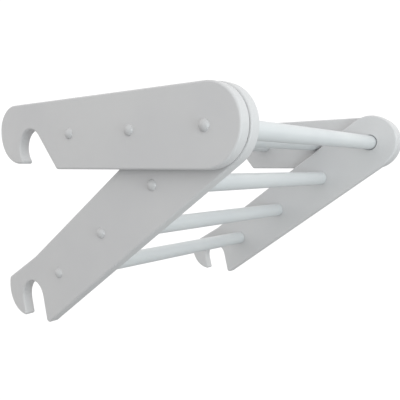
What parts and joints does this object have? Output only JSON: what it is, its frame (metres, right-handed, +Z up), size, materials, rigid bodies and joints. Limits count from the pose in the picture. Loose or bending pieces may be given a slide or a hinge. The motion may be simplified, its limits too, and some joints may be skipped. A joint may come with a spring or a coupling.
{
  "type": "folding drying rack",
  "caption": "Hook-on folding drying rack: two hinged frames of rods between side plates, hung over two horizontal rails.",
  "frame": {"origin": "middle of the upper hooks' common seat line, half way between the two outer side plates", "axes": "+X along the rods, +Y towards the wall behind the rails, +Z up; the rack is stored as it hangs in use"},
  "size_m": [0.404, 0.3502, 0.247],
  "materials": {
    "side_plate": "satin white lacquer",
    "rod": "satin white lacquer",
    "cap": "smooth satin",
    "screw": "zinc plated",
    "bearing": "smooth, unfilled"
  },
  "bodies": {
    "upper_frame": {"pivot_rod": "rod", "pivot_rod_cap_left": "cap", "pivot_rod_cap_right": "cap", "pivot_rod_screw_left": "screw", "pivot_rod_screw_right": "screw", "pivot_washer_left": "bearing", "pivot_washer_right": "bearing", "upper_plate_left": "side_plate", "upper_plate_right": "side_plate", "upper_rod_1": "rod", "upper_rod_1_cap_left": "cap", "upper_rod_1_cap_right": "cap", "upper_rod_1_screw_left": "screw", "upper_rod_1_screw_right": "screw", "upper_rod_2": "rod", "upper_rod_2_cap_left": "cap", "upper_rod_2_cap_right": "cap", "upper_rod_2_screw_left": "screw", "upper_rod_2_screw_right": "screw"},
    "lower_frame": {"lower_plate_left": "side_plate", "lower_plate_right": "side_plate", "lower_rod_1": "rod", "lower_rod_1_cap_left": "cap", "lower_rod_1_cap_right": "cap", "lower_rod_1_screw_left": "screw", "lower_rod_1_screw_right": "screw", "lower_rod_2": "rod", "lower_rod_2_cap_left": "cap", "lower_rod_2_cap_right": "cap", "lower_rod_2_screw_left": "screw", "lower_rod_2_screw_right": "screw", "lower_rod_3": "rod", "lower_rod_3_cap_left": "cap", "lower_rod_3_cap_right": "cap", "lower_rod_3_screw_left": "screw", "lower_rod_3_screw_right": "screw", "pivot_bush_left": "bearing", "pivot_bush_right": "bearing"}
  },
  "joints": [
    {"name": "fold", "type": "hinge", "parent": "upper_frame", "child": "lower_frame", "pos_m": [0, -0.2434, 0.0125], "axis": [1, 0, 0], "range_deg": [-291, 2]}
  ]
}
